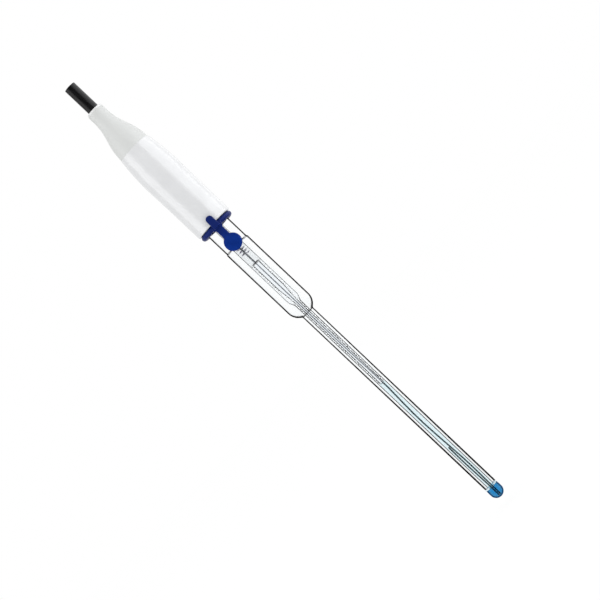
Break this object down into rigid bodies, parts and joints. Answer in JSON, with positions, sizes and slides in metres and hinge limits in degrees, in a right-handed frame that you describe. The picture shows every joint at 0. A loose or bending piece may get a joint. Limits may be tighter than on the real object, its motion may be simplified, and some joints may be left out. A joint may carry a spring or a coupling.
{
  "type": "combination ph electrode",
  "caption": "Slim refillable glass pH electrode: stepped glass shaft with a blue sensing bulb, tapered white cap, short black cable end and a blue silicone stopper on its refill hole.",
  "frame": {"origin": "on the long axis, half way along the 33 mm of the glass shaft below the stopper that a holder grips", "axes": "+Z along the axis towards the cap and cable, -Z towards the bulb; the refill stopper faces -Y"},
  "size_m": [0.018, 0.0194, 0.2435],
  "materials": {
    "clear_glass": "fire-polished clear borosilicate glass",
    "inner_glass": "clear drawn glass tube",
    "blue_glass": "blown pH glass, tinted blue",
    "ceramic": "porous unglazed ceramic, stained by the electrolyte",
    "salt_solution": "clear potassium chloride solution",
    "buffer_solution": "pale cyan buffer solution",
    "clear_resin": "clear casting resin",
    "silver": "drawn silver wire, darkened by silver chloride",
    "silver_chloride": "silver wire coated with violet-grey silver chloride",
    "white_silicone": "matte silicone",
    "resin": "poured epoxy resin",
    "white_plastic": "smooth glossy moulded plastic",
    "black_rubber": "nitrile rubber",
    "grommet_plastic": "soft white plastic",
    "steel": "drawn steel",
    "black_jacket": "satin extruded cable jacket",
    "tinned_braid": "tinned copper braid",
    "natural_polyethylene": "milky polyethylene",
    "copper": "bright copper",
    "brass": "turned brass",
    "clear_sleeve": "fluoropolymer sleeve",
    "blue_silicone": "smooth silicone with a soft sheen"
  },
  "bodies": {
    "electrode": {"body_glass": "clear_glass", "inner_tube": "inner_glass", "sensing_bulb": "blue_glass", "ceramic_junction": "ceramic", "reference_electrolyte": "salt_solution", "inner_buffer": "buffer_solution", "tube_seal": "clear_resin", "measuring_wire": "silver", "reference_wire": "silver_chloride", "reservoir_bung": "white_silicone", "potting": "resin", "cap": "white_plastic", "cap_o_ring": "black_rubber", "cable_grommet": "grommet_plastic", "cable_ferrule": "steel", "cable_jacket": "black_jacket", "cable_shield": "tinned_braid", "cable_dielectric": "natural_polyethylene", "cable_conductor": "copper", "measuring_crimp": "brass", "reference_crimp": "brass", "shield_tail": "tinned_braid", "measuring_sleeve": "clear_sleeve", "stopper_ring": "blue_silicone"},
    "stopper_flap": {"stopper_plug": "blue_silicone"}
  },
  "joints": [
    {"name": "stopper_hinge", "type": "hinge", "parent": "electrode", "child": "stopper_flap", "pos_m": [0, -0.00833, 0.02707], "axis": [-1, 0, 0], "range_deg": [0, 100]}
  ]
}
